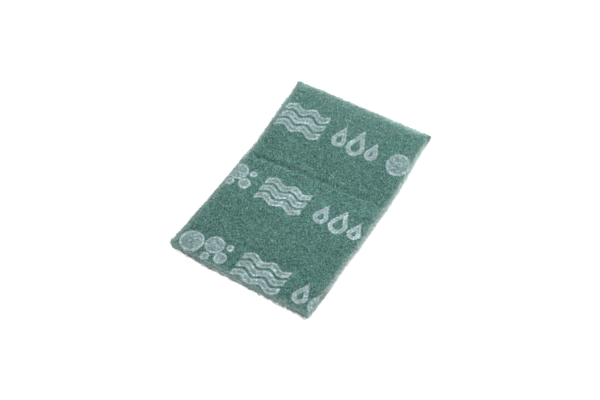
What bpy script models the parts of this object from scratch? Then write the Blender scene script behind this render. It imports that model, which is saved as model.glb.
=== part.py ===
"""A hand scouring pad: one rectangle of green nonwoven web, 152 by 229 mm and 6.5 mm thick.

The pad has been bent across its width and has kept the bend. The longer, near part lies flat
and the far part rises. The bend is sharp at the left edge and gradual at the right one, the
upper face is pinched into a furrow along it, and the near left corner lifts off the table.

The web is first made as a flat slab, with its cut edges, their rounding and the relief of its
upper face, and then every point of the slab is carried round the bend.

Metres, with X across the width, Y along the length towards the raised end and Z up. The origin
is under the middle of the pad's box, at the height of the surface that it lies on.
"""

import math

import bmesh
import bpy
from mathutils import Vector, noise

# The web as it is cut
PAD_WIDTH = 0.1524
PAD_LENGTH = 0.2286
WEB_THICKNESS = 0.0065
EDGE_ROUNDING = 0.0010

# How far the cut edges stray from straight, and over what length
EDGE_STRAY = 0.0005
EDGE_STRAY_LENGTH = 0.022

# Swells and hollows of the upper face, and of the raised part's underside
UPPER_SWELL = 0.00040
UNDER_SWELL = 0.00025
SWELL_LENGTH = 0.017

# The bend: how far it lies from the near edge, how much the web turns there, and over what
# length to each side of its middle
BEND_AT_LEFT = 0.1356
BEND_AT_RIGHT = 0.1446
BEND_ANGLE_LEFT = math.radians(9.5)
BEND_ANGLE_RIGHT = math.radians(13.3)
BEND_REACH_LEFT = 0.006
BEND_REACH_RIGHT = 0.018

# Slope that the raised part gains from the bend to its free end
RAISED_CURL_LEFT = math.radians(2.2)
RAISED_CURL_RIGHT = math.radians(0.8)

# The near left corner, which lifts off the table
CORNER_LIFT = 0.0015
CORNER_LIFT_ALONG = 0.075
CORNER_LIFT_ACROSS = 0.060

# The furrow that the bend pinches into the upper face, with a lip on each side
FURROW_AT_LEFT = 0.1300
FURROW_AT_RIGHT = 0.1386
FURROW_DEPTH_LEFT = 0.0013
FURROW_DEPTH_RIGHT = 0.0005
FURROW_HALF_WIDTH = 0.0020
LIP_HEIGHT = 0.0006
LIP_DISTANCE = 0.0052
LIP_HALF_WIDTH = 0.0024

# A second furrow, which leaves the first near the middle and runs off towards the far left
BRANCH_START_ACROSS = 0.090
BRANCH_END_ACROSS = 0.054
BRANCH_END_OFFSET = 0.0150
BRANCH_DEPTH = 0.0007

# The pinched web bulges past the left edge on the near side of the furrow, and has a nick in it
BULGE = 0.0015
BULGE_HALF_LENGTH = 0.0045
BULGE_BEFORE_FURROW = 0.0035
NICK = 0.0008
NICK_HALF_LENGTH = 0.0016

# Mesh cells over the open web and, closer, across the bend
CELL = 0.0042
BEND_CELL = 0.0021
BEND_ZONE_BEFORE = 0.016
BEND_ZONE_AFTER = 0.014
ROUNDING_SEGMENTS = 2
BEND_STEP = 0.001

# The web's colour and surface
WEB_COLOUR = "5B8079"
WEB_ROUGHNESS = 0.92


def clear_scene():
    """Remove every object of the open scene."""
    for leftover in list(bpy.data.objects):
        bpy.data.objects.remove(leftover, do_unlink=True)


def linear_colour(hex_colour):
    """The linear RGBA colour of an sRGB hex value."""
    channels = [int(hex_colour[i:i + 2], 16) / 255 for i in (0, 2, 4)]
    linear = [c / 12.92 if c <= 0.04045 else ((c + 0.055) / 1.055) ** 2.4 for c in channels]
    return (*linear, 1.0)


def ease(value, low, high):
    """0 below low, 1 above high, and a smooth step between them."""
    share = min(max((value - low) / (high - low), 0.0), 1.0)
    return share * share * (3 - 2 * share)


def bell(distance, half_width):
    """A smooth hump of height 1 at distance 0."""
    return math.exp(-0.5 * (distance / half_width) ** 2)


def across_share(across):
    """How far a point lies across the pad: 0 at the left edge, 1 at the right one."""
    return min(max(across / PAD_WIDTH + 0.5, 0.0), 1.0)


def between(left, right, across):
    """A size that changes evenly from the left edge to the right one."""
    return left + (right - left) * across_share(across)


def bend_at(across):
    """Distance of the middle of the bend from the near edge."""
    return between(BEND_AT_LEFT, BEND_AT_RIGHT, across)


def furrow_at(across):
    """Distance of the furrow from the near edge. It runs off slanting and then straightens."""
    straightened = 1 - (1 - across_share(across)) ** 2
    return FURROW_AT_LEFT + (FURROW_AT_RIGHT - FURROW_AT_LEFT) * straightened


def furrow_relief(across, along):
    """Height of the furrow and its lips above the even upper face."""
    beyond = along - furrow_at(across)
    depth = between(FURROW_DEPTH_LEFT, FURROW_DEPTH_RIGHT, across)
    lip = LIP_HEIGHT * depth / FURROW_DEPTH_LEFT
    lips = bell(beyond - LIP_DISTANCE, LIP_HALF_WIDTH) + bell(beyond + LIP_DISTANCE, LIP_HALF_WIDTH)
    return lip * lips - depth * bell(beyond, FURROW_HALF_WIDTH)


def branch_relief(across, along):
    """Depth of the second furrow, which fades in where it leaves the first and out at its end."""
    from_left = across + PAD_WIDTH / 2
    share = (BRANCH_START_ACROSS - from_left) / (BRANCH_START_ACROSS - BRANCH_END_ACROSS)
    fade = ease(share, -0.3, 0.3) * (1 - ease(share, 0.7, 1.3))
    beyond = along - furrow_at(across) - BRANCH_END_OFFSET * share
    return -BRANCH_DEPTH * fade * bell(beyond, FURROW_HALF_WIDTH)


def swell(across, along, layer):
    """Even unevenness of the web, between about -1 and 1, different for each layer."""
    return noise.noise(Vector((across / SWELL_LENGTH, along / SWELL_LENGTH, layer)))


def edge_stray(along, layer):
    """How far a cut edge strays outwards at a place along it."""
    return EDGE_STRAY * noise.noise(Vector((along / EDGE_STRAY_LENGTH, layer, 0.5)))


def pinched_edge(along):
    """How far the left edge stands out by the end of the furrow."""
    beyond = along - FURROW_AT_LEFT
    bulge = BULGE * bell(beyond + BULGE_BEFORE_FURROW, BULGE_HALF_LENGTH)
    return bulge - NICK * bell(beyond, NICK_HALF_LENGTH)


def stations(across):
    """Distances of the mesh rows from the near edge, closer together across the bend."""
    zone_start = bend_at(across) - BEND_ZONE_BEFORE
    zone_end = bend_at(across) + BEND_ZONE_AFTER
    stops = (0.0, zone_start, zone_end, PAD_LENGTH)
    cells = (
        round((BEND_AT_LEFT - BEND_ZONE_BEFORE) / CELL),
        round((BEND_ZONE_BEFORE + BEND_ZONE_AFTER) / BEND_CELL),
        round((PAD_LENGTH - BEND_AT_LEFT - BEND_ZONE_AFTER) / CELL),
    )
    rows = [0.0]
    for start, end, count in zip(stops, stops[1:], cells):
        rows += [start + (end - start) * step / count for step in range(1, count + 1)]
    return rows


def make_flat_sheet(bm):
    """The web's underside as a flat grid whose rows follow the bend, with its edges as cut."""
    columns = round(PAD_WIDTH / CELL)
    rows = len(stations(0.0)) - 1
    bmesh.ops.create_grid(bm, x_segments=columns, y_segments=rows, size=0.5)
    for vert in bm.verts:
        column = round((vert.co.x + 0.5) * columns)
        row = round((vert.co.y + 0.5) * rows)
        across = (column / columns - 0.5) * PAD_WIDTH
        along = stations(across)[row]
        vert.co = (across, along, 0.0)
        if column == 0:
            vert.co.x -= edge_stray(along, 1) + pinched_edge(along)
        if column == columns:
            vert.co.x += edge_stray(along, 2)
        if row == 0:
            vert.co.y -= edge_stray(across, 3)
        if row == rows:
            vert.co.y += edge_stray(across, 4)


def thicken(bm):
    """Extrude the sheet up to the web's thickness."""
    extruded = bmesh.ops.extrude_face_region(bm, geom=bm.faces[:])
    upper = [item for item in extruded["geom"] if isinstance(item, bmesh.types.BMVert)]
    bmesh.ops.translate(bm, verts=upper, vec=(0, 0, WEB_THICKNESS))
    bmesh.ops.recalc_face_normals(bm, faces=bm.faces[:])


def round_cut_edges(bm):
    """Round the edges all round the upper and lower faces, and the four corners."""
    bm.normal_update()
    cut = [edge for edge in bm.edges if edge.calc_face_angle(0.0) > math.radians(60)]
    bmesh.ops.bevel(
        bm,
        geom=cut,
        offset=EDGE_ROUNDING,
        offset_type="OFFSET",
        segments=ROUNDING_SEGMENTS,
        profile=0.5,
        affect="EDGES",
    )


def add_relief(bm):
    """Furrows and swells of the upper face, and swells under the raised part."""
    for vert in bm.verts:
        across, along, height = vert.co
        share = height / WEB_THICKNESS
        upper = furrow_relief(across, along) + branch_relief(across, along)
        upper += UPPER_SWELL * swell(across, along, 7.5)
        raised = ease(along - bend_at(across), 0.0, BEND_ZONE_AFTER)
        under = UNDER_SWELL * raised * swell(across, along, 19.5)
        vert.co.z += share * upper + (1 - share) * under


def slope_at(across, along):
    """Slope of the web at a distance from the near edge, in radians."""
    beyond = along - bend_at(across)
    reach = between(BEND_REACH_LEFT, BEND_REACH_RIGHT, across)
    turned = between(BEND_ANGLE_LEFT, BEND_ANGLE_RIGHT, across) * ease(beyond, -reach, reach)
    raised_length = PAD_LENGTH - bend_at(across)
    curl = between(RAISED_CURL_LEFT, RAISED_CURL_RIGHT, across)
    return turned + curl * max(beyond, 0.0) / raised_length


def underside_at(across, along):
    """Where the underside's point at this place lies once the web is bent, as (y, z)."""
    start = bend_at(across) - between(BEND_REACH_LEFT, BEND_REACH_RIGHT, across)
    if along <= start:
        return along, 0.0
    steps = math.ceil((along - start) / BEND_STEP)
    step = (along - start) / steps
    slopes = [slope_at(across, start + (index + 0.5) * step) for index in range(steps)]
    y = start + step * sum(math.cos(slope) for slope in slopes)
    z = step * sum(math.sin(slope) for slope in slopes)
    return y, z


def corner_lift(across, along):
    """How far the near left corner lifts the web at this place."""
    from_left = across + PAD_WIDTH / 2
    along_share = min(max(1 - along / CORNER_LIFT_ALONG, 0.0), 1.0)
    across_left = min(max(1 - from_left / CORNER_LIFT_ACROSS, 0.0), 1.0)
    return CORNER_LIFT * along_share ** 2 * across_left ** 2


def bend(bm):
    """Carry every point of the flat slab round the bend."""
    for vert in bm.verts:
        across, along, height = vert.co
        slope = slope_at(across, along)
        y, z = underside_at(across, along)
        lifted = z + corner_lift(across, along)
        vert.co.y = y - height * math.sin(slope)
        vert.co.z = lifted + height * math.cos(slope)


def stand_on_origin(bm):
    """Move the pad so that the origin is under the middle of its box."""
    for axis in (0, 1):
        places = [vert.co[axis] for vert in bm.verts]
        middle = (min(places) + max(places)) / 2
        for vert in bm.verts:
            vert.co[axis] -= middle


def web_material():
    """Abrasive nonwoven nylon, green and quite matt."""
    material = bpy.data.materials.new("green_nonwoven_nylon")
    material.use_nodes = True
    surface = material.node_tree.nodes["Principled BSDF"]
    surface.inputs["Base Color"].default_value = linear_colour(WEB_COLOUR)
    surface.inputs["Roughness"].default_value = WEB_ROUGHNESS
    surface.inputs["Metallic"].default_value = 0.0
    return material


def make_pad():
    """The pad, as one piece of web."""
    bm = bmesh.new()
    make_flat_sheet(bm)
    thicken(bm)
    round_cut_edges(bm)
    add_relief(bm)
    bend(bm)
    stand_on_origin(bm)
    mesh = bpy.data.meshes.new("scouring_pad")
    bm.to_mesh(mesh)
    bm.free()
    mesh.shade_smooth()
    mesh.set_sharp_from_angle(angle=math.radians(50))
    mesh.materials.append(web_material())
    pad = bpy.data.objects.new("scouring_pad", mesh)
    bpy.context.scene.collection.objects.link(pad)
    return pad


clear_scene()
make_pad()
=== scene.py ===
"""Looks of the scouring pad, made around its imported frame.

The pad's web gets a fine surface of its own, and thousands of strands of crimped fibre on its
upper face, its underside and its four cut edges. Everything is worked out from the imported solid,
which is read with rays, so each piece lies where the frame says.

Lengths are metres. X runs across the pad, Y along it towards the raised end, Z up.
"""

import functools
import math
from typing import NamedTuple

import bpy
import numpy as np
from bpy.props import FloatProperty, FloatVectorProperty, IntProperty, PointerProperty
from mathutils import Matrix, Vector, noise
from mathutils.bvhtree import BVHTree


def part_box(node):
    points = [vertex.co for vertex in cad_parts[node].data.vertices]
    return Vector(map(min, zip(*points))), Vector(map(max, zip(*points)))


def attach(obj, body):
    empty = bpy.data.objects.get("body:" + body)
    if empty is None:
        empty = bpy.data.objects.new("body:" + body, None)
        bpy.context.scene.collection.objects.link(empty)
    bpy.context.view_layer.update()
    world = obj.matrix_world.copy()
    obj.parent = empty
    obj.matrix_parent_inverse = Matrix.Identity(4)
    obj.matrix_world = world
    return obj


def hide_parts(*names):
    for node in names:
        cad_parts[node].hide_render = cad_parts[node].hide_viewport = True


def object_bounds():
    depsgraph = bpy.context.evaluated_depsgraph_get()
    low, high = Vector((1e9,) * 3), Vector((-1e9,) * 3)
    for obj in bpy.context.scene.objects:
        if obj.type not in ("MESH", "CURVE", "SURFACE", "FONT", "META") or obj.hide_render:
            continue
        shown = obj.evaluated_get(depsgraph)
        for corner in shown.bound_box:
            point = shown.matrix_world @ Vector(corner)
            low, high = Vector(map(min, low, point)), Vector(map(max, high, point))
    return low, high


bl_info = {
    "name": "Scouring pad",
    "version": (1, 0, 0),
    "blender": (4, 5, 0),
    "location": "3D View > Sidebar > Pad",
    "description": "Web, strands and studio for a bent hand scouring pad",
    "category": "Add Mesh",
}

MM = 0.001
PAD_NODE = "scouring_pad"
PAD_BODY = "root"

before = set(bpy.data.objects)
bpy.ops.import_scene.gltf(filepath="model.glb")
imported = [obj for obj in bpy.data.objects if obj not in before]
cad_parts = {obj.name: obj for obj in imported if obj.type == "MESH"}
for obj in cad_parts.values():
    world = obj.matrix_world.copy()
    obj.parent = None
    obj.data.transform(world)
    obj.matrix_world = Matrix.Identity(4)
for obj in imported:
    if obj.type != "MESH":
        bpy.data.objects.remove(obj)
cad_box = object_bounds()


def linear(hex_colour):
    """The linear RGB colour of an sRGB hex value."""
    channels = [int(hex_colour[i:i + 2], 16) / 255 for i in (0, 2, 4)]
    return tuple(c / 12.92 if c <= 0.04045 else ((c + 0.055) / 1.055) ** 2.4 for c in channels)


def number(name, description, default, **fields):
    """A number property."""
    return FloatProperty(name=name, description=description, default=default, **fields)


def length(name, description, default):
    """A length property in metres."""
    return number(name, description, default, unit="LENGTH", precision=5)


def angle(name, description, degrees):
    """An angle property, given in degrees."""
    return number(name, description, math.radians(degrees), subtype="ANGLE")


def colour(name, description, hex_colour):
    """A colour property, given as an sRGB hex value."""
    default = linear(hex_colour)
    return FloatVectorProperty(name=name, description=description, subtype="COLOR", default=default)


class WebSettings(bpy.types.PropertyGroup):
    """Sizes and colours of the ground web under the strands."""

    cell: length("Mesh cell", "Size of the ground's mesh cells", 1.2 * MM)
    sunk: length("Sunk", "How far the ground lies under the faces", 0.6 * MM)
    side_sunk: length("Side sunk", "How far the ground lies in from the cut edges", 2.3 * MM)
    clump: length("Clump", "Distance between clumps of fibre", 2.2 * MM)
    clump_relief: length("Clump relief", "Height of a clump over the hollows beside it", 0.14 * MM)
    # Hollow and crest are one resin-coated nylon, with painted shade in the hollows deep in the web and
    # painted light on the crests near the face
    hollow_shade: colour("Hollow", "Resin-coated nylon deep in the web", "30605A")
    lit_crest: colour("Crest", "Resin-coated nylon near the face", "67928A")


class StrandSettings(bpy.types.PropertyGroup):
    """Sizes, counts and colours of the strands of fibre."""

    thickness: length("Thickness", "Drawn thickness of a strand", 0.34 * MM)
    span: length("Span", "Length of a strand between the places where it dives", 4.8 * MM)
    crimp: number("Crimp", "How far a strand turns along its span", 2.2, subtype="ANGLE")
    arch: length("Arch", "How far the middle of a strand stands over its ends", 0.38 * MM)
    spread: length("Spread", "Depth over which the strands lie", 0.4 * MM)
    upper_count: IntProperty(name="Upper", description="Strands on the upper face", default=15200)
    under_count: IntProperty(name="Under", description="Strands on the underside", default=4600)
    rim_count: IntProperty(name="Rim", description="Strands along the cut edges", default=4200)
    fringe_count: IntProperty(name="Fringe", description="Cut ends out of the edges", default=9600)
    rim_width: length("Rim width", "Over which the paler rim of the faces fades", 2.1 * MM)
    end_width: length("End width", "Over which the paler rim of the raised end fades", 4.0 * MM)
    # Dark and pale are the ends of the fibre's tone: its own tone, which varies at random, with painted
    # shade where a strand lies low and painted light where it lies high
    dark: colour("Dark", "Strand that lies low or is thickly coated", "2D5E55")
    pale: colour("Pale", "Strand that lies high and is scuffed", "93B8B0")
    # This colour is the paler nylon of the cut edges: partly bare nylon and partly painted edge light
    cut: colour("Cut", "Bare nylon at the cut edges", "DDEBE7")


class PrintSettings(bpy.types.PropertyGroup):
    """Sizes and colour of the printed marks."""

    ink: colour("Ink", "Pale grey ink on the upper strands", "B8C9CD")
    grow: number("Grow", "Scale of the marks", 1.12)
    row_pitch: length("Row pitch", "Distance between rows of marks", 85.0 * MM)
    mark_pitch: length("Mark pitch", "Distance between marks in a row", 62.0 * MM)
    first_row: length("First row", "Distance of the first row from the near edge", 17.0 * MM)


class StudioSettings(bpy.types.PropertyGroup):
    """The camera, the lamps and the even light of the room."""

    azimuth: angle("Azimuth", "Camera's turn about Z", 35.49)
    elevation: angle("Elevation", "Camera's height angle", 51.78)
    roll: angle("Roll", "Camera's tilt about its own axis", -3.91)
    distance: length("Distance", "From the camera to the point it looks at", 1.0021)
    aim_x: length("Aim X", "The point on the table that the camera looks at", -1.54 * MM)
    aim_y: length("Aim Y", "The point on the table that the camera looks at", -3.41 * MM)
    lens: number("Lens", "Focal length", 62.46, unit="CAMERA")
    lamp_power: number("Lamp power", "Watts of the soft box", 7.7)
    lamp_size: length("Lamp size", "Side of the square soft box", 0.42)
    fill_power: number("Fill power", "Watts of the low lamp in front", 2.6)
    fill_size: length("Fill size", "Side of the square low lamp", 0.6)
    room_light: number("Room light", "Strength of the even light all round", 0.51)


def settings():
    """The four groups of settings, as one object with a field for each."""
    return bpy.context.scene.scouring_pad


class PadSettings(bpy.types.PropertyGroup):
    """All settings of the pad and its studio."""

    web: PointerProperty(type=WebSettings)
    strands: PointerProperty(type=StrandSettings)
    marks: PointerProperty(type=PrintSettings)
    studio: PointerProperty(type=StudioSettings)


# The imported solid, read with rays

CORNER_RADII = {
    ("left", "near"): 3.2 * MM,
    ("right", "near"): 1.2 * MM,
    ("left", "far"): 1.5 * MM,
    ("right", "far"): 1.5 * MM,
}
# An edge, the end of it that stands out, how far it does, and over what length that fades
FLARES = (
    ("far", "left", 1.7 * MM, 7.0 * MM),
    ("left", "near", 0.9 * MM, 14.0 * MM),
    ("near", "right", 0.7 * MM, 8.0 * MM),
)


class PadShape:
    """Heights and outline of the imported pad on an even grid, for arrays of places."""

    step = 1.0 * MM
    beyond = 4 * step
    far_off = 1.0
    # How far to both sides of a place its mean height is taken, in steps
    relief_reach = 6
    crease_reach = 2
    # The upper face keeps none of the solid's relief at the left edge, and half at the right one
    relief_starts = (3 * MM, 18 * MM)
    relief_fades = (0.0, 40 * MM)
    relief_lost = 0.5
    # Where the heights of the near and far edges are read, in from them
    near_in, far_in = 2 * MM, 3 * MM
    # Painted shade for each millimetre of the crease's depth, and its limits
    shade_per_mm = 0.3
    shade_range = (-0.1, 0.2)

    def __init__(self, node):
        corners = [vertex.co for vertex in node.data.vertices]
        self.tree = BVHTree.FromPolygons(corners, [face.vertices for face in node.data.polygons])
        low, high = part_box(PAD_NODE)
        self.low, self.high = np.array(low), np.array(high)
        self.xs = np.arange(low.x - self.beyond, high.x + self.beyond, self.step)
        self.ys = np.arange(low.y - self.beyond, high.y + self.beyond, self.step)
        self.upper_grid = self.read_heights(self.far_off, -1.0)
        mean = self.mean_along(self.upper_grid, self.relief_reach)
        kept = smooth(self.xs - self.low[0], *self.relief_starts)
        kept = kept * (1 - self.relief_lost * smooth(self.xs, *self.relief_fades))
        self.upper_grid = mean + (self.upper_grid - mean) * kept
        self.hollow_grid = mean - self.mean_along(self.upper_grid, self.crease_reach)
        self.under_grid = self.read_heights(-self.far_off, 1.0)
        middle = (self.upper_grid + self.under_grid) / 2
        sides = list(zip(self.ys, middle[:, len(self.xs) // 2]))
        nears = zip(self.xs, middle[self.row_at(low.y + self.near_in)])
        fars = zip(self.xs, middle[self.row_at(high.y - self.far_in)])
        off = self.far_off
        self.left = [self.hit((-off, y, z), (1, 0, 0), 0, low.x) for y, z in sides]
        self.right = [self.hit((off, y, z), (-1, 0, 0), 0, high.x) for y, z in sides]
        self.near = [self.hit((x, -off, z), (0, 1, 0), 1, low.y) for x, z in nears]
        self.far = [self.hit((x, off, z), (0, -1, 0), 1, high.y) for x, z in fars]

    def row_at(self, y):
        """Index of the grid row nearest to y."""
        return int(round((y - self.ys[0]) / self.step))

    def hit(self, start, direction, axis, missed):
        """Where a ray meets the solid, on one axis."""
        place = self.tree.ray_cast(Vector(start), Vector(direction))[0]
        return missed if place is None else place[axis]

    def read_heights(self, start, way):
        """Height of the solid's upper or lower side over the grid, carried on past its outline."""
        heights = np.full((len(self.ys), len(self.xs)), np.nan)
        for row, y in enumerate(self.ys):
            for column, x in enumerate(self.xs):
                place = self.tree.ray_cast(Vector((x, y, start)), Vector((0, 0, way)))[0]
                if place is not None:
                    heights[row, column] = place.z
        return fill_outwards(heights)

    def mean_along(self, heights, reach):
        """The mean height along the pad, this many steps to both sides of each place."""
        padded = np.pad(heights, ((reach, reach), (0, 0)), mode="edge")
        rows = len(heights)
        return sum(padded[first:first + rows] for first in range(2 * reach + 1)) / (2 * reach + 1)

    def sample(self, grid, x, y):
        """The grid's height at these places, evenly between its points."""
        short = 1.001
        column = np.clip((x - self.xs[0]) / self.step, 0, len(self.xs) - short)
        row = np.clip((y - self.ys[0]) / self.step, 0, len(self.ys) - short)
        i, j = row.astype(int), column.astype(int)
        down, along = row - i, column - j
        first = grid[i, j] * (1 - along) + grid[i, j + 1] * along
        second = grid[i + 1, j] * (1 - along) + grid[i + 1, j + 1] * along
        return first * (1 - down) + second * down

    def upper(self, x, y):
        """Height of the upper face."""
        return self.sample(self.upper_grid, x, y)

    def hollow_shade(self, x, y):
        """How much painted shade darkens the fibre in the crease, below 0 for painted light on the lips
        beside it.
        """
        depth = self.sample(self.hollow_grid, x, y) / MM
        return np.clip(depth * self.shade_per_mm, *self.shade_range)

    def under(self, x, y):
        """Height of the underside."""
        return self.sample(self.under_grid, x, y)

    def inwards(self, x, y):
        """How far a place lies in from each of the four edges, below 0 past it."""
        return {
            "left": x - np.interp(y, self.ys, self.left),
            "right": np.interp(y, self.ys, self.right) - x,
            "near": y - np.interp(x, self.xs, self.near),
            "far": np.interp(x, self.xs, self.far) - y,
        }

    def margin(self, x, y):
        """How far a place lies inside the outline with its rounded corners, below 0 outside it."""
        away = self.inwards(x, y)
        inside = np.minimum.reduce(list(away.values()))
        for (across, along), radius in CORNER_RADII.items():
            to_sides = radius - away[across], radius - away[along]
            rounded = radius - np.hypot(*to_sides)
            inside = np.where(np.minimum(*to_sides) > 0, np.minimum(inside, rounded), inside)
        return inside

    def side_length(self, side):
        """Length of a cut edge's box."""
        return (self.high - self.low)[0 if side in ("near", "far") else 1]

    def inset(self, side, share):
        """How far the rounded corners draw an edge in, less how far its flares draw it out."""
        drawn = np.zeros_like(share)
        for corner, radius in CORNER_RADII.items():
            if side in corner:
                other = corner[1] if corner[0] == side else corner[0]
                start = share if other in ("left", "near") else 1 - share
                short = np.clip(radius - start * self.side_length(side), 0, radius)
                drawn = np.maximum(drawn, radius - np.sqrt(radius ** 2 - short ** 2))
        for flared, end, out, width in FLARES:
            if flared == side:
                start = share if end in ("left", "near") else 1 - share
                drawn = drawn - out * np.exp(-start * self.side_length(side) / width)
        return drawn

    def edge(self, side, share):
        """Places along one cut edge, and the edge's outward direction there."""
        x = self.low[0] + (self.high[0] - self.low[0]) * share
        y = self.low[1] + (self.high[1] - self.low[1]) * share
        flat = np.zeros_like(share)
        outward = flat + (1 if side in ("right", "far") else -1)
        if side in ("near", "far"):
            return x, np.interp(x, self.xs, getattr(self, side)), flat, outward
        return np.interp(y, self.ys, getattr(self, side)), y, outward, flat


@functools.cache
def pad_shape():
    """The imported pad's shape, read once."""
    return PadShape(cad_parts[PAD_NODE])


def fill_outwards(heights):
    """Carry the outermost heights on past the outline, a row or column at a time."""
    filled = heights.copy()
    for _ in range(max(filled.shape)):
        empty = np.isnan(filled)
        if not empty.any():
            return filled
        padded = np.pad(filled, 1, constant_values=np.nan)
        inner = slice(1, -1)
        around = np.stack((padded[:-2, inner], padded[2:, inner], padded[inner, :-2], padded[inner, 2:]))
        known = ~np.isnan(around)
        total = np.where(known, around, 0).sum(axis=0)
        count = known.sum(axis=0)
        ready = empty & (count > 0)
        filled[ready] = total[ready] / count[ready]
    return filled


def field(places, size, layer):
    """Smooth noise between about -1 and 1 at each place, with features of this size."""
    shift = Vector((0, 0, layer))
    return np.array([noise.noise(Vector(place) / size + shift) for place in places])


def ridges(places, size, layer):
    """Noise from 0 to 1 with sharp crests, like strands that cross."""
    steepness = 2.2
    return 1 - np.clip(np.abs(field(places, size, layer)) * steepness, 0, 1)


def smooth(value, low, high):
    """0 below low, 1 above high, and a smooth step between them."""
    share = np.clip((value - low) / (high - low), 0, 1)
    return share * share * (3 - 2 * share)


# Materials

# Nearly all of a noise texture's values lie between these
NOISE_SPAN = {"From Min": 0.3, "From Max": 0.7}


def add(tree, kind, inputs=None, **fields):
    """Add a node, set its fields, and set or link its inputs by name or number.

    The kind is its type without ShaderNode. A node given for an input stands for its first output.
    """
    node = tree.nodes.new("ShaderNode" + kind)
    for name, value in fields.items():
        setattr(node, name, value)
    for name, value in (inputs or {}).items():
        if isinstance(value, bpy.types.Node):
            value = value.outputs[0]
        if isinstance(value, bpy.types.NodeSocket):
            tree.links.new(value, node.inputs[name])
        else:
            node.inputs[name].default_value = value
    return node


def new_material(name):
    """An empty material and its node tree."""
    material = bpy.data.materials.new(name)
    material.use_nodes = True
    material.node_tree.nodes.clear()
    return material, material.node_tree


def rgba(value):
    """A property's colour with alpha."""
    return (*value, 1.0)


def largest(tree, values):
    """The largest of several values."""
    result = values[0]
    for value in values[1:]:
        result = add(tree, "Math", {0: result, 1: value}, operation="MAXIMUM")
    return result


# The printed marks. Each gives how far inside itself a place lies, in millimetres about its middle.

def bubbles(tree, place):
    """A cluster of bold discs."""
    discs = ((-12.0, -2.5, 10.5), (7.0, 4.0, 8.6), (6.0, -9.2, 3.8), (18.5, -5.0, 5.6), (20.0, 7.5, 3.2))
    inside = []
    for x, y, radius in discs:
        away = add(tree, "VectorMath", {0: place, 1: (x, y, 0)}, operation="DISTANCE")
        away = away.outputs["Value"]
        inside.append(add(tree, "Math", {0: radius, 1: away}, operation="SUBTRACT"))
    return largest(tree, inside)


def ripples(tree, place):
    """Three wavy strokes, one over the other, with straight ends."""
    wave_length, wave_height, half_width = 19.0, 1.9, 22.0
    half_stroke, stroke_pitch = 3.2, 9.2
    apart = add(tree, "SeparateXYZ", {"Vector": place})
    x, y = apart.outputs["X"], apart.outputs["Y"]
    turn = add(tree, "Math", {0: x, 1: 2 * math.pi / wave_length}, operation="MULTIPLY")
    swing = add(tree, "Math", {0: turn}, operation="SINE")
    lifted = add(tree, "Math", {0: swing, 1: -wave_height, 2: y}, operation="MULTIPLY_ADD")
    inside = []
    for level in (-stroke_pitch, 0.0, stroke_pitch):
        off = add(tree, "Math", {0: lifted, 1: level}, operation="SUBTRACT")
        away = add(tree, "Math", {0: off}, operation="ABSOLUTE")
        inside.append(add(tree, "Math", {0: half_stroke, 1: away}, operation="SUBTRACT"))
    across = add(tree, "Math", {0: x}, operation="ABSOLUTE")
    ends = add(tree, "Math", {0: half_width, 1: across}, operation="SUBTRACT")
    return add(tree, "Math", {0: largest(tree, inside), 1: ends}, operation="MINIMUM")


def drops(tree, place):
    """Three drops, each a bold outline: a disc, and a cone over it that ends in a tip."""
    half_stroke = 2.0
    inside = []
    for x, y, radius, tip in ((-16.0, -3.0, 6.6, 14.5), (1.0, -3.5, 8.2, 18.0), (17.0, -4.0, 5.8, 13.0)):
        lean = radius / tip
        upright = math.sqrt(1 - lean * lean)
        moved = add(tree, "VectorMath", {0: place, 1: (x, y, 0)}, operation="SUBTRACT")
        mirrored = add(tree, "VectorMath", {0: moved}, operation="ABSOLUTE")
        measures = []
        for vector, share in (
            (moved, (0, lean, 0)), (mirrored, (upright, 0, 0)), (mirrored, (lean / upright, 0, 0)),
        ):
            measure = add(tree, "VectorMath", {0: vector, 1: share}, operation="DOT_PRODUCT")
            measures.append(measure.outputs["Value"])
        along, across, slope = measures
        both = add(tree, "Math", {0: along, 1: across}, operation="ADD")
        cone = add(tree, "Math", {0: radius, 1: both}, operation="SUBTRACT")
        away = add(tree, "VectorMath", {0: moved}, operation="LENGTH").outputs["Value"]
        disc = add(tree, "Math", {0: radius, 1: away}, operation="SUBTRACT")
        height = add(tree, "SeparateXYZ", {"Vector": moved}).outputs["Y"]
        over = add(tree, "Math", {0: height, 1: slope}, operation="GREATER_THAN")
        inside.append(add(tree, "Mix", {"Factor": over, "A": disc, "B": cone}))
    deep = add(tree, "Math", {0: largest(tree, inside), 1: half_stroke}, operation="SUBTRACT")
    off = add(tree, "Math", {0: deep}, operation="ABSOLUTE")
    return add(tree, "Math", {0: half_stroke, 1: off}, operation="SUBTRACT")


MARKS = (bubbles, ripples, drops)


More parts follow.
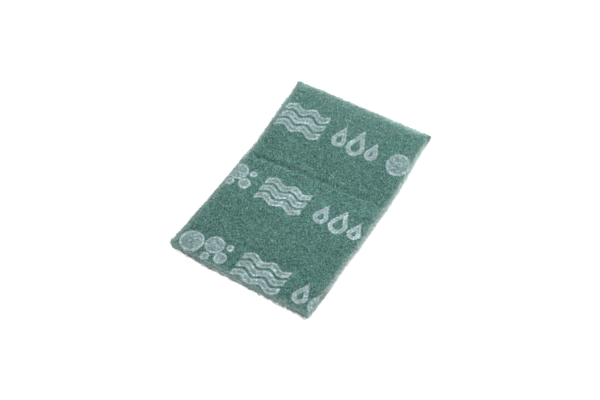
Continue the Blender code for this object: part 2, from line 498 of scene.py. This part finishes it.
def printed(tree, place):
    """How far inside the printed marks a place of the upper face lies, in millimetres.

    The marks take turns in rows across the pad, and each row is shifted by half a mark against
    the one before it.
    """
    marks = settings().marks
    low = cad_box[0]
    corner = (low[0], low[1] + marks.first_row - marks.row_pitch / 2, 0)
    pitch = (marks.mark_pitch, marks.row_pitch, 1)
    to_mark = (marks.mark_pitch / MM / marks.grow, marks.row_pitch / MM / marks.grow, 0)
    from_corner = add(tree, "VectorMath", {0: place, 1: corner}, operation="SUBTRACT")
    counted = add(tree, "VectorMath", {0: from_corner, 1: pitch}, operation="DIVIDE")
    whole = add(tree, "VectorMath", {0: counted}, operation="FLOOR")
    row = add(tree, "SeparateXYZ", {"Vector": whole}).outputs["Y"]
    shift = add(tree, "VectorMath", {0: (0.5, 0, 0), "Scale": row}, operation="SCALE")
    shifted = add(tree, "VectorMath", {0: counted, 1: shift}, operation="ADD")
    part = add(tree, "VectorMath", {0: shifted}, operation="FRACTION")
    centred = add(tree, "VectorMath", {0: part, 1: (0.5, 0.5, 0)}, operation="SUBTRACT")
    local = add(tree, "VectorMath", {0: centred, 1: to_mark}, operation="MULTIPLY")
    cell = add(tree, "VectorMath", {0: shifted}, operation="FLOOR")
    column = add(tree, "SeparateXYZ", {"Vector": cell}).outputs["X"]
    kind = add(tree, "Math", {0: column, 1: len(MARKS)}, operation="FLOORED_MODULO")
    chosen = MARKS[0](tree, local)
    for turn, mark in enumerate(MARKS[1:], start=1):
        is_this = add(tree, "Math", {0: kind, 1: turn, 2: 0.1}, operation="COMPARE")
        chosen = add(tree, "Mix", {"Factor": is_this, "A": chosen, "B": mark(tree, local)})
    return chosen


def inked(tree, ground, place, tone):
    """The ground colour with the print's ink over it.

    The ink takes best on strands that lie high, and is thickest in a line along each mark's rim.
    The outline's fade and raggedness and the line's place and widths are millimetres.
    """
    blot = 0.62 * MM
    fade, raggedness = 0.35, 0.6
    line_place, line_solid, line_gone = 0.75, 0.35, 1.0
    take = add(tree, "TexNoise", {"Vector": place, "Scale": 1 / blot, "Detail": 0.5})
    ragged = add(tree, "MapRange", {
        "Value": take, **NOISE_SPAN, "To Min": -raggedness, "To Max": raggedness,
    })
    inside = add(tree, "Math", {0: printed(tree, place), 1: ragged}, operation="ADD")
    mark = add(tree, "MapRange", {
        "Value": inside, "From Min": -fade, "From Max": fade,
    }, interpolation_type="SMOOTHSTEP")
    past_line = add(tree, "Math", {0: inside, 1: line_place}, operation="SUBTRACT")
    off_line = add(tree, "Math", {0: past_line}, operation="ABSOLUTE")
    line = add(tree, "MapRange", {
        "Value": off_line, "From Min": line_solid, "From Max": line_gone, "To Min": 1.0, "To Max": 0.0,
    })
    grip = add(tree, "MapRange", {
        "Value": take, "From Min": 0.46, "From Max": 0.57, "To Min": 0.05, "To Max": 0.95,
    })
    held = add(tree, "MapRange", {
        "Value": tone, "From Min": 0.05, "From Max": 0.5, "To Min": 0.2, "To Max": 1.0,
    })
    upper = add(tree, "Attribute", attribute_name="upper").outputs["Fac"]
    cover = largest(tree, [grip, line])
    for share in (held, mark, upper):
        cover = add(tree, "Math", {0: cover, 1: share}, operation="MULTIPLY")
    ink = rgba(settings().marks.ink)
    mixed = add(tree, "Mix", {"Factor": cover, "A": ground, "B": ink}, data_type="RGBA")
    return mixed.outputs[2]


# The web is open, and darkened with painted shade, where a noise texture lies under the first of these,
# and closed over the second
PORE_SPAN = {"From Min": 0.36, "From Max": 0.48}
# Noise that changes the fibre's tone: its feature size, its detail, the span of its values and the
# changes at the ends of that. The coat's grains come first, then patches and two sizes of pores, which
# are painted shade.
TEXTURES = (
    (0.7 * MM, 3.0, NOISE_SPAN, -0.5, 0.5),
    (9.0 * MM, 2.0, NOISE_SPAN, -0.06, 0.06),
    (0.95 * MM, 1.0, PORE_SPAN, -1.1, 0.0),
    (1.5 * MM, 1.0, PORE_SPAN, -0.75, 0.0),
)


def coated_nylon(name, dark, pale, bare_and_lit_nylon, has_print):
    """Nylon fibre sprayed with resin and fine abrasive.

    The coat is matt, with a faint gloss where resin has pooled, and its grains of about 0.1 mm
    are drawn at 0.7 mm, so that they show. Here and there the web is open, and painted shade
    darkens its fibre there. The attribute tone tells how pale the fibre is, from 0 to 1: its own
    tone, which varies at random, with painted light where it lies high and painted shade where it
    lies low or deep, in the crease, towards the raised end and at its corners. The attribute
    lively tells how much that varies from grain to grain, and the one for the cut edges how far
    the nylon is laid bare and lit there with painted edge light.
    """
    material, tree = new_material(name)
    place = add(tree, "TexCoord").outputs["Object"]
    tone, cut, lively_by = (
        add(tree, "Attribute", attribute_name=attribute).outputs["Fac"]
        for attribute in ("tone", "cut", "lively")
    )
    varied, textures = tone, []
    for size, detail, span, low, high in TEXTURES:
        texture = add(tree, "TexNoise", {"Vector": place, "Scale": 1 / size, "Detail": detail})
        change = add(tree, "MapRange", {"Value": texture, **span, "To Min": low, "To Max": high})
        inputs = {0: change, 1: lively_by, 2: varied}
        varied = add(tree, "Math", inputs, operation="MULTIPLY_ADD")
        textures.append(texture)
    grains = textures[0]
    share = add(tree, "Clamp", {"Value": varied})
    ground = rgba(dark)
    for factor, over in ((share, pale), (cut, bare_and_lit_nylon)):
        inputs = {"Factor": factor, "A": ground, "B": rgba(over)}
        ground = add(tree, "Mix", inputs, data_type="RGBA").outputs[2]
    if has_print:
        ground = inked(tree, ground, place, tone)
    bump = add(tree, "Bump", {"Height": grains, "Strength": 0.5, "Distance": 0.15 * MM})
    roughness = add(tree, "MapRange", {
        "Value": grains, **NOISE_SPAN, "To Min": 0.72, "To Max": 0.95,
    })
    surface = add(tree, "BsdfPrincipled", {
        "Base Color": ground,
        "Roughness": roughness,
        "Normal": bump,
        "IOR": 1.5,
        "Specular IOR Level": 0.3,
    })
    add(tree, "OutputMaterial", {"Surface": surface})
    return material


# Meshes

BAKE_MAP = "OFBake"


def new_piece(name, mesh, material, attributes):
    """A smooth object of this mesh, with these values at its points, that rides on the pad's body."""
    mesh.shade_smooth()
    for attribute, values in attributes.items():
        layer = mesh.attributes.new(attribute, "FLOAT", "POINT")
        layer.data.foreach_set("value", np.asarray(values, np.float32))
    mesh.materials.clear()
    mesh.materials.append(material)
    piece = bpy.data.objects.new(name, mesh)
    bpy.context.scene.collection.objects.link(piece)
    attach(piece, PAD_BODY)
    return piece


RING = 3


def tubes(paths, radii):
    """Closed three-sided tubes along the paths. paths is strands by points by 3."""
    nearly_upright = 0.9
    strands, points, _ = paths.shape
    ahead = np.gradient(paths, axis=1)
    ahead /= np.linalg.norm(ahead, axis=2, keepdims=True)
    up = np.zeros_like(ahead)
    up[..., 2] = 1.0
    up[np.abs(ahead[..., 2]) > nearly_upright] = (1.0, 0.0, 0.0)
    side = np.cross(ahead, up)
    side /= np.linalg.norm(side, axis=2, keepdims=True)
    over = np.cross(side, ahead)
    corners = []
    for corner in range(RING):
        angle = math.pi / 2 + corner * 2 * math.pi / RING
        out = side * math.cos(angle) + over * math.sin(angle)
        corners.append(paths + out * radii[..., None])
    vertices = np.stack(corners, axis=2).reshape(-1, 3)
    index = np.arange(strands * points * RING).reshape(strands, points, RING)
    faces = []
    for corner in range(RING):
        after = (corner + 1) % RING
        here, next_here = index[:, :-1, corner], index[:, :-1, after]
        there, next_there = index[:, 1:, corner], index[:, 1:, after]
        for face in ((here, there, next_there), (here, next_there, next_here)):
            faces.append(np.stack(face, axis=-1).reshape(-1, 3))
    faces.append(index[:, 0, :].reshape(-1, 3))
    faces.append(index[:, -1, ::-1].reshape(-1, 3))
    return vertices, np.concatenate(faces)


def tube_map(strands, points):
    """Places on the map for the tubes' face corners. Each strand has a strip of its own there."""
    long_as_high, rim = 4, 0.06
    columns = math.ceil(math.sqrt(strands / long_as_high))
    rows = math.ceil(strands / columns)
    index = np.arange(strands)
    left, bottom = index % columns, index // columns

    def at(along, around):
        """Corners at this share of the strip's length and height."""
        u = (left[:, None] + rim + (1 - 2 * rim) * np.asarray(along)) / columns
        v = (bottom[:, None] + rim + (1 - 2 * rim) * np.asarray(around)) / rows
        return np.stack(np.broadcast_arrays(u, v), axis=-1)

    share = np.linspace(0, 1, points)
    here, there = share[:-1], share[1:]
    corners = []
    for side in range(RING):
        low, high = side / RING, (side + 1) / RING
        first, second, third, fourth = at(here, low), at(there, low), at(there, high), at(here, high)
        for face in ((first, second, third), (first, third, fourth)):
            corners.append(np.stack(face, axis=2).reshape(-1, 3, 2))
    cap_along, cap_around = np.array((0.0, 0.08, 0.0)), np.array((0.1, 0.5, 0.9))
    corners.append(at(cap_along, cap_around))
    corners.append(at(1 - cap_along, 1 - cap_around))
    return np.concatenate(corners)


def per_corner(values):
    """Values at the strands' points, repeated for each corner of the tubes."""
    return np.repeat(values.reshape(-1), RING)


FINE_POINTS = 19
STRAND_POINTS = 5
FRINGE_POINTS = 4


def wander(rng, count, start, heading, span, crimp):
    """Curling flat paths. Each turns one way, then often back, as crimped fibre does."""
    waver = 0.16
    step = span / (FINE_POINTS - 1)
    turn = rng.normal(0, crimp, count) / (FINE_POINTS - 1)
    change = rng.normal(0, crimp * waver, (count, FINE_POINTS))
    swing = np.cumsum(change, axis=1) / math.sqrt(FINE_POINTS)
    angle = heading[:, None] + turn[:, None] * np.arange(FINE_POINTS) + swing
    x = np.cumsum(np.cos(angle) * step[:, None], axis=1)
    y = np.cumsum(np.sin(angle) * step[:, None], axis=1)
    middle = FINE_POINTS // 2
    return start[:, :1] + x - x[:, middle:middle + 1], start[:, 1:] + y - y[:, middle:middle + 1]


def cut_at_outline(shape, x, y, proud):
    """Shorten each path to its stretch round the middle that lies inside the outline."""
    fewest = FINE_POINTS // 4
    inside = shape.margin(x, y) > -proud[:, None]
    middle = FINE_POINTS // 2
    after = np.cumprod(inside[:, middle:], axis=1).sum(axis=1) - 1
    before = np.cumprod(inside[:, middle::-1], axis=1).sum(axis=1) - 1
    share = np.linspace(0, 1, STRAND_POINTS)
    places = (middle - before)[:, None] + share * (before + after)[:, None]
    low = np.clip(places.astype(int), 0, FINE_POINTS - 2)
    part = places - low
    rows = np.arange(len(x))[:, None]
    cut_x = x[rows, low] * (1 - part) + x[rows, low + 1] * part
    cut_y = y[rows, low] * (1 - part) + y[rows, low + 1] * part
    long_enough = (before + after) >= fewest
    return cut_x[long_enough], cut_y[long_enough]


# How much of a strand's thickness stands out of the face that it lies on, at most
OUT_OF_FACE = 0.4


def face_strands(shape, rng, count, upper):
    """Paths of strands that lie on the upper face or the underside, and how high each lies."""
    strands = settings().strands
    spare, shortest, longest = 1.12, 0.6, 1.4
    proud = -1.7, 1.4 if upper else 0.0
    low, high = shape.low, shape.high
    start = rng.uniform(low[:2], high[:2], (int(count * spare), 2))
    start = start[shape.margin(start[:, 0], start[:, 1]) > 0]
    heading = rng.uniform(0, 2 * math.pi, len(start))
    span = strands.span * rng.uniform(shortest, longest, len(start))
    x, y = wander(rng, len(start), start, heading, span, strands.crimp)
    x, y = cut_at_outline(shape, x, y, rng.uniform(*proud, len(start)) * MM)
    x, y = x[:count], y[:count]
    level = rng.uniform(-1, 0, len(x))
    share = np.linspace(-1, 1, STRAND_POINTS)
    depth = strands.spread * level[:, None] - strands.arch * share ** 2
    depth = depth + strands.thickness * OUT_OF_FACE
    if upper:
        z = shape.upper(x, y) + depth
    else:
        z = np.maximum(shape.under(x, y) - depth, strands.thickness / 2)
        z = z + NEAR_LEFT_LIFT * near_left(shape, x, y)
    return np.stack([x, y, z], axis=2), level + 1


def strand_piece(name, paths, tone, cut, material, thickness):
    """One piece of many strands, thinner at their ends."""
    taper = 0.45
    share = np.linspace(-1, 1, paths.shape[1])
    radii = np.broadcast_to(thickness / 2 * (1 - taper * share ** 4), paths.shape[:2])
    vertices, faces = tubes(paths, radii)
    corners = tube_map(*paths.shape[:2]).astype(np.float32)
    mesh = bpy.data.meshes.new(name)
    mesh.from_pydata(vertices.tolist(), [], faces.tolist())
    mesh.uv_layers.new(name=BAKE_MAP).uv.foreach_set("vector", corners.reshape(-1))
    mesh.validate()
    new_piece(name, mesh, material, {
        "tone": per_corner(np.broadcast_to(tone[:, None], paths.shape[:2])),
        "cut": per_corner(cut),
        "upper": np.full(len(vertices), 1.0),
        "lively": lively(vertices[:, 1]),
    })


# Between these places along the pad the fibre grows calmer, and darker with painted shade, towards the
# raised end
CALM_STARTS, CALM_ALL = 40 * MM, 90 * MM
CALM_SHADE = 0.15
# The near left corner is lifted: its underside by this much more than the solid's, with the foot
# of its cut edges drawn in
NEAR_LEFT_LIFT, NEAR_LEFT_TUCK, NEAR_LEFT_WIDTH = 1.5 * MM, 2.0 * MM, 8 * MM
# The share of their paleness that the raised end's corners lack, and over what width. Their rim strands
# are darkened by that share as well, as painted shade
CORNER_SPARED, CORNER_WIDTH = 0.85, 7 * MM


def calm(y):
    """0 on the near part and 1 on the raised end, whose fibre varies less in tone."""
    return smooth(y, CALM_STARTS, CALM_ALL)


def lively(y):
    """How much the fibre's tone varies from grain to grain."""
    near_part, calmed = 1.1, 0.7
    return near_part - calmed * calm(y)


def raised_corners(shape, x, y):
    """1 at the raised end's two corners, fading to 0."""
    away = shape.inwards(x, y)
    to_corner = np.hypot(np.minimum(away["left"], away["right"]), away["far"])
    return np.exp(-(to_corner / CORNER_WIDTH) ** 2)


def near_left(shape, x, y):
    """1 at the near left corner, fading to 0."""
    return np.exp(-np.hypot(x - shape.low[0], y - shape.low[1]) / NEAR_LEFT_WIDTH)


def bare_and_lit_rim(shape, x, y):
    """How pale the nylon is at each place, from 0 to 1: partly laid bare and partly painted light.

    It is more so by the cut edges, where it is a painted highlight along them, and furthest in at
    the raised end. That end's corners are spared.
    """
    strands = settings().strands
    away = shape.inwards(x, y)
    bare_and_lit_nylon = np.zeros_like(x)
    for side, edge in EDGES.items():
        width = strands.end_width if side == "far" else strands.rim_width
        bare_and_lit_nylon = np.maximum(bare_and_lit_nylon, edge.rim * np.exp(-np.maximum(away[side], 0) / width))
    return np.clip(bare_and_lit_nylon, 0, 1) * (1 - CORNER_SPARED * raised_corners(shape, x, y))


# Operators

class PAD_OT_web(bpy.types.Operator):
    """The ground web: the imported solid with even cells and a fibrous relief"""

    bl_idname = "pad.web"
    bl_label = "Ground web"

    def execute(self, context):
        web, cut = settings().web, settings().strands.cut
        lowest, clump_layer = 0.05 * MM, 3.0
        side_to_face, print_fades = (0.2, 0.9), (0.5, 0.8)
        hollow_tone, clump_crest_light, ground_bare_and_lit = 0.34, 0.3, 0.5
        mesh = self.even_mesh(context, web.cell)
        points = self.read(mesh, "co")
        normals = self.read(mesh, "normal")
        x, y = points[:, 0], points[:, 1]
        clumps = ridges(points, web.clump, clump_layer)
        on_side = 1 - smooth(np.abs(normals[:, 2]), *side_to_face)
        sunk = web.sunk + (web.side_sunk - web.sunk) * on_side
        moved = points + normals * (web.clump_relief * (clumps - 0.5) - sunk)[:, None]
        moved[:, 2] = np.maximum(moved[:, 2], lowest)
        mesh.vertices.foreach_set("co", moved.reshape(-1))
        mesh.update()
        material = coated_nylon("coated_nylon_ground", web.hollow_shade, web.lit_crest, cut, True)
        # The ground's tone carries painted shade in its hollows and towards the raised end, and painted
        # light on its clump crests; by the cut edges it is paler, partly bare nylon and partly painted
        # edge light
        piece = new_piece("web_ground", mesh, material, {
            "tone": hollow_tone + clumps * clump_crest_light - CALM_SHADE * calm(y),
            "cut": ground_bare_and_lit * bare_and_lit_rim(pad_shape(), x, y),
            "upper": smooth(normals[:, 2], *print_fades),
            "lively": lively(y),
        })
        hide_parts(PAD_NODE)
        return {"FINISHED"}

    def even_mesh(self, context, cell):
        """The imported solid's mesh, made anew with even cells."""
        same_place = 0.01 * MM
        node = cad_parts[PAD_NODE]
        even = node.copy()
        even.data = node.data.copy()
        even.parent = None
        context.scene.collection.objects.link(even)
        weld = even.modifiers.new("weld", "WELD")
        weld.merge_threshold = same_place
        remesh = even.modifiers.new("even cells", "REMESH")
        remesh.mode = "VOXEL"
        remesh.voxel_size = cell
        context.view_layer.update()
        mesh = bpy.data.meshes.new_from_object(even.evaluated_get(context.evaluated_depsgraph_get()))
        bpy.data.objects.remove(even)
        return mesh

    def read(self, mesh, name):
        """A field of the mesh's vertices, as rows of three."""
        values = np.zeros(len(mesh.vertices) * 3)
        mesh.vertices.foreach_get(name, values)
        return values.reshape(-1, 3)


class PAD_OT_face_strands(bpy.types.Operator):
    """Strands of crimped fibre on the upper face, with the print on them, and on the underside"""

    bl_idname = "pad.face_strands"
    bl_label = "Strands on the faces"

    def execute(self, context):
        strands = settings().strands
        colours = strands.dark, strands.pale, strands.cut
        rng = np.random.default_rng(71)
        with_print = coated_nylon("coated_nylon_with_print", *colours, True)
        halves = 2
        for half in range(halves):
            self.make(rng, f"upper_strands_{half + 1}", strands.upper_count // halves, with_print, True)
        plain_nylon = coated_nylon("coated_nylon_plain", *colours, False)
        self.make(rng, "under_strands", strands.under_count, plain_nylon, False)
        return {"FINISHED"}

    def make(self, rng, name, count, material, upper):
        """One piece of strands that lie on a face."""
        low_tone, height_light, tone_spread = 0.8, 0.2, 0.09
        corner_shade, least_bare_and_lit = 0.3, 0.7
        shape, middle = pad_shape(), STRAND_POINTS // 2
        paths, level = face_strands(shape, rng, count, upper)
        # Strands that lie higher get painted light. On the upper face, painted shade darkens them in the
        # crease, towards the raised end and at that end's corners, and painted light brightens the
        # crease's lips
        tone = low_tone + height_light * level + rng.normal(0, tone_spread, len(level))
        if upper:
            x, y = paths[:, middle, 0], paths[:, middle, 1]
            shade = CALM_SHADE * calm(y) + corner_shade * raised_corners(shape, x, y)
            tone = tone - shape.hollow_shade(x, y) - shade
        bare_and_lit_nylon = bare_and_lit_rim(shape, paths[..., 0], paths[..., 1])
        bare_and_lit_nylon = bare_and_lit_nylon * rng.uniform(least_bare_and_lit, 1.0, (len(paths), 1))
        strand_piece(name, paths, np.clip(tone, 0, 1), bare_and_lit_nylon, material, settings().strands.thickness)


class Edge(NamedTuple):
    """How one cut edge looks. Its paleness, partly bare nylon and partly painted light, runs from its
    bottom to its top.

    The rim is how pale the faces are along it. The right edge is the palest, most of all at its
    foot, and the near edge grows paler towards its top as a painted highlight.
    """

    proud: float
    reach: float
    tone: float
    bare_and_lit_low: float
    bare_and_lit_high: float
    rim: float


# The right edge's high tone and paleness, most at its foot, and the near edge's paler top are partly
# painted light
EDGES = {
    "left": Edge(proud=0.1 * MM, reach=2.7 * MM, tone=0.5, bare_and_lit_low=0.26, bare_and_lit_high=0.26, rim=0.85),
    "right": Edge(proud=0.2 * MM, reach=2.6 * MM, tone=0.9, bare_and_lit_low=1.1, bare_and_lit_high=0.5, rim=0.5),
    "near": Edge(proud=0.6 * MM, reach=0.7 * MM, tone=0.6, bare_and_lit_low=0.1, bare_and_lit_high=0.33, rim=0.62),
    "far": Edge(proud=0.2 * MM, reach=3.0 * MM, tone=0.05, bare_and_lit_low=0.35, bare_and_lit_high=0.35, rim=0.44),
}


def rounded_off(height, most):
    """How far the edge's rounding draws it in at this share of the web's thickness."""
    foot, squareness = -0.7, 6
    return most * np.clip(2 * height - 1, foot, 1) ** squareness


class PAD_OT_rim_strands(bpy.types.Operator):
    """Strands along the four cut edges, and cut ends that stand out of them"""

    bl_idname = "pad.rim_strands"
    bl_label = "Strands on the cut edges"

    def execute(self, context):
        strands = settings().strands
        rim_share, fringe_share = 0.9, 0.75
        shape = pad_shape()
        material = coated_nylon("cut_nylon", strands.dark, strands.pale, strands.cut, False)
        rng = np.random.default_rng(29)
        around = sum(shape.side_length(side) for side in EDGES)
        lying, fringe = [], []
        for side in EDGES:
            side_length = shape.side_length(side)
            share = side_length / around
            lying.append(self.lying(rng, side, side_length, round(strands.rim_count * share)))
            fringe.append(self.fringe(rng, side, side_length, round(strands.fringe_count * share)))
        self.make("rim_strands", lying, material, strands.thickness * rim_share)
        self.make("rim_fringe", fringe, material, strands.thickness * fringe_share)
        return {"FINISHED"}

    def make(self, name, groups, material, thickness):
        """One piece of the strands of all four edges."""
        paths, tones, bare_and_lit_nylon = (np.concatenate(parts) for parts in zip(*groups))
        spared = raised_corners(pad_shape(), paths[..., 0], paths[..., 1])
        bare_and_lit_shares = bare_and_lit_nylon[:, None] * (1 - CORNER_SPARED * spared)
        # Painted shade on the rim strands at the raised end's corners
        tones = tones * (1 - CORNER_SPARED * spared.mean(axis=1))
        strand_piece(name, paths, tones, bare_and_lit_shares, material, thickness)

    def looks(self, rng, side, height):
        """Tone and paleness of strands at this share of the web's thickness, partly bare nylon and partly
        painted light.
        """
        edge, spread = EDGES[side], 0.2
        tone = rng.normal(edge.tone, spread, len(height))
        bare_and_lit_nylon = edge.bare_and_lit_low + (edge.bare_and_lit_high - edge.bare_and_lit_low) * height
        bare_and_lit_nylon = bare_and_lit_nylon + rng.normal(0, spread, len(height))
        return np.clip(tone, 0, 1), np.clip(bare_and_lit_nylon, 0, 1)

    def at(self, side, share, out, height):
        """Points by the cut edge, this far out of it and at this share of the web's thickness."""
        shape, read_in, tuck_lift = pad_shape(), 1.3 * MM, 0.5
        x, y, out_x, out_y = shape.edge(side, share)
        inner_x, inner_y = x - out_x * read_in, y - out_y * read_in
        low, high = shape.under(inner_x, inner_y), shape.upper(inner_x, inner_y)
        out = out - shape.inset(side, share)
        x, y = x + out_x * out, y + out_y * out
        tuck = NEAR_LEFT_TUCK * (1 - height) * near_left(shape, x, y)
        z = low + (high - low) * height + tuck_lift * tuck
        return np.stack([x + tuck, y + tuck, z], axis=-1)

    def lying(self, rng, side, side_length, count):
        """Strands that lie along the cut edge, whose foot stands out furthest and is the least deep."""
        strands = settings().strands
        shortest, longest, from_ends = 0.35, 0.9, 0.005
        # Heights are shares of the web's thickness
        wander_up, first_heights, all_heights = 0.08, (0.05, 0.95), (0.04, 0.96)
        least_deep, deepest, few_deep, deepens = 0.2, 1.8, 1.6, (-0.25, 0.3)
        foot_out, foot_fades, rounding = 0.9 * MM, (0.05, 0.4), 0.8 * MM
        span = strands.span * rng.uniform(shortest, longest, count) / side_length
        start = rng.uniform(from_ends + span / 2, 1 - from_ends - span / 2)
        share = start[:, None] + span[:, None] * np.linspace(-0.5, 0.5, STRAND_POINTS)
        steps = rng.normal(0, wander_up, (count, STRAND_POINTS)).cumsum(axis=1)
        height = np.clip(rng.uniform(*first_heights, count)[:, None] + steps, *all_heights)
        first = height[:, :1]
        depth = deepest * rng.uniform(0, 1, count)[:, None] ** few_deep * smooth(first, *deepens)
        level = EDGES[side].proud - (least_deep + depth) * MM
        level = level + foot_out * (1 - smooth(first, *foot_fades))
        arch = strands.arch * np.linspace(-1, 1, STRAND_POINTS) ** 2
        out = level - arch - rounded_off(height, rounding)
        return self.at(side, share, out, height), *self.looks(rng, side, height[:, 0])

    def fringe(self, rng, side, side_length, count):
        """Cut ends that stand out of the edge, each from inside the web.

        A quarter of them are crowded by the upper face, and a fifth by the underside.
        """
        by_upper, by_under = 0.25, 0.8
        upper_heights, under_heights, heights = (0.85, 0.99), (0.03, 0.15), (0.05, 0.97)
        least, inner, rounding, reach_spread = -1.6 * MM, -3.2 * MM, 0.5 * MM, (1.8, 2.0)
        lean_spread, bow_spread, tilt_spread, sunk_inside, tilts = 1.6, 0.7, 0.07, 0.12, (0.04, 0.99)
        steps = np.linspace(0, 1, FRINGE_POINTS)
        share = rng.uniform(0, 1, count)
        place = rng.uniform(0, 1, count)
        height = rng.uniform(*heights, count)
        height = np.where(place < by_upper, rng.uniform(*upper_heights, count), height)
        height = np.where(place > by_under, rng.uniform(*under_heights, count), height)
        out_end = least + (EDGES[side].reach - least) * rng.beta(*reach_spread, count)
        out_end = out_end - rounded_off(height, rounding)
        lean = rng.normal(0, lean_spread, count) * MM / side_length
        bow = rng.normal(0, bow_spread, count) * MM / side_length
        along = share[:, None] + lean[:, None] * steps + bow[:, None] * np.sin(steps * math.pi)
        along = np.clip(along, 0, 1)
        out = inner + (out_end - inner)[:, None] * steps
        tilt = height[:, None] + rng.normal(0, tilt_spread, count)[:, None] * steps
        tilt = np.clip(tilt - sunk_inside * (1 - steps), *tilts)
        paths = self.at(side, along, out, tilt)
        return paths, *self.looks(rng, side, height)


def camera_matrix(studio):
    """The camera's place and turn, from the angles of its view."""
    azimuth, elevation = studio.azimuth, studio.elevation
    back = Vector((
        math.sin(azimuth) * math.cos(elevation),
        -math.cos(azimuth) * math.cos(elevation),
        math.sin(elevation),
    ))
    right = Vector((0, 0, 1)).cross(back).normalized()
    up = back.cross(right)
    turned_right = right * math.cos(studio.roll) + up * math.sin(studio.roll)
    turned_up = up * math.cos(studio.roll) - right * math.sin(studio.roll)
    place = Vector((studio.aim_x, studio.aim_y, 0)) + back * studio.distance
    turn = Matrix((turned_right, turned_up, back)).transposed().to_4x4()
    return Matrix.Translation(place) @ turn


def seen_directly(tree):
    """1 for rays from the camera and those that glossy or clear surfaces send on, otherwise 0."""
    path = add(tree, "LightPath")
    kinds = ("Is Camera Ray", "Is Glossy Ray", "Is Transmission Ray")
    return largest(tree, [path.outputs[kind] for kind in kinds])


def table_paper():
    """Matt white paper. It shows as plain white, and keeps a little of the pad's shadow."""
    white_strength, white_share = 1.17, 0.8
    material, tree = new_material("white_table_paper")
    matt = add(tree, "BsdfDiffuse", {"Color": rgba(linear("EFF0F0"))})
    white = add(tree, "Emission", {"Color": (1, 1, 1, 1), "Strength": white_strength})
    bright = add(tree, "Math", {0: seen_directly(tree), 1: white_share}, operation="MULTIPLY")
    mixed = add(tree, "MixShader", {0: bright, 1: matt, 2: white})
    add(tree, "OutputMaterial", {"Surface": mixed})
    return material


SOFT_BOX_PLACE = (0.12, 0.48, 0.41)
FILL_PLACE = (0.10, -0.85, 0.36)


class PAD_OT_studio(bpy.types.Operator):
    """A white table, a soft box, even room light and the camera"""

    bl_idname = "pad.studio"
    bl_label = "Studio"

    def execute(self, context):
        studio = settings().studio
        scene = context.scene
        self.add_table(scene)
        self.add_room(scene, studio)
        self.add_lamp(scene, "soft_box", SOFT_BOX_PLACE, studio.lamp_size, studio.lamp_power)
        self.add_lamp(scene, "fill", FILL_PLACE, studio.fill_size, studio.fill_power)
        self.add_camera(scene, studio)
        scene.view_settings.view_transform = "Standard"
        return {"FINISHED"}

    def add_table(self, scene):
        """A wide table just under the pad."""
        half, below = 3.0, -0.05 * MM
        mesh = bpy.data.meshes.new("table")
        corners = [(-half, -half, below), (half, -half, below), (half, half, below), (-half, half, below)]
        mesh.from_pydata(corners, [], [(0, 1, 2, 3)])
        mesh.materials.append(table_paper())
        table = bpy.data.objects.new("table", mesh)
        scene.collection.objects.link(table)

    def add_room(self, scene, studio):
        """Even light all round, which shows as plain white."""
        world = bpy.data.worlds.new("room")
        scene.world = world
        world.use_nodes = True
        tree = world.node_tree
        tree.nodes.clear()
        strength = add(tree, "Mix", {
            "Factor": seen_directly(tree), "A": studio.room_light, "B": 1.0,
        })
        light = add(tree, "Background", {"Color": (1, 1, 1, 1), "Strength": strength})
        add(tree, "OutputWorld", {"Surface": light})

    def add_lamp(self, scene, name, place, size, power):
        """A square lamp that faces the pad."""
        data = bpy.data.lights.new(name, "AREA")
        data.shape = "SQUARE"
        data.size = size
        data.energy = power
        lamp = bpy.data.objects.new(name, data)
        place = Vector(place)
        lamp.matrix_world = Matrix.Translation(place) @ place.to_track_quat("Z", "Y").to_matrix().to_4x4()
        scene.collection.objects.link(lamp)

    def add_camera(self, scene, studio):
        """The camera at the photograph's angle."""
        data = bpy.data.cameras.new("camera")
        data.lens = studio.lens
        camera = bpy.data.objects.new("camera", data)
        camera.matrix_world = camera_matrix(studio)
        scene.collection.objects.link(camera)
        scene.camera = camera


class PAD_PT_panel(bpy.types.Panel):
    """The pad's pieces and settings"""

    bl_idname = "PAD_PT_panel"
    bl_label = "Scouring pad"
    bl_space_type = "VIEW_3D"
    bl_region_type = "UI"
    bl_category = "Pad"

    def draw(self, context):
        for operator in OPERATORS:
            self.layout.operator(operator.bl_idname)
        for group in PadSettings.__annotations__:
            box = self.layout.box()
            owner = getattr(settings(), group)
            for name in owner.__annotations__:
                box.prop(owner, name)


OPERATORS = (PAD_OT_web, PAD_OT_face_strands, PAD_OT_rim_strands, PAD_OT_studio)
SETTINGS = (WebSettings, StrandSettings, PrintSettings, StudioSettings, PadSettings)
CLASSES = (*SETTINGS, *OPERATORS, PAD_PT_panel)


def register():
    """Register the classes and hang the settings on the scene."""
    for made in CLASSES:
        bpy.utils.register_class(made)
    bpy.types.Scene.scouring_pad = PointerProperty(type=PadSettings)


def unregister():
    """Undo register."""
    del bpy.types.Scene.scouring_pad
    for made in reversed(CLASSES):
        bpy.utils.unregister_class(made)


def main():
    """Make every piece and the studio."""
    register()
    bpy.ops.pad.web()
    bpy.ops.pad.face_strands()
    bpy.ops.pad.rim_strands()
    bpy.ops.pad.studio()


if __name__ == "__main__":
    main()
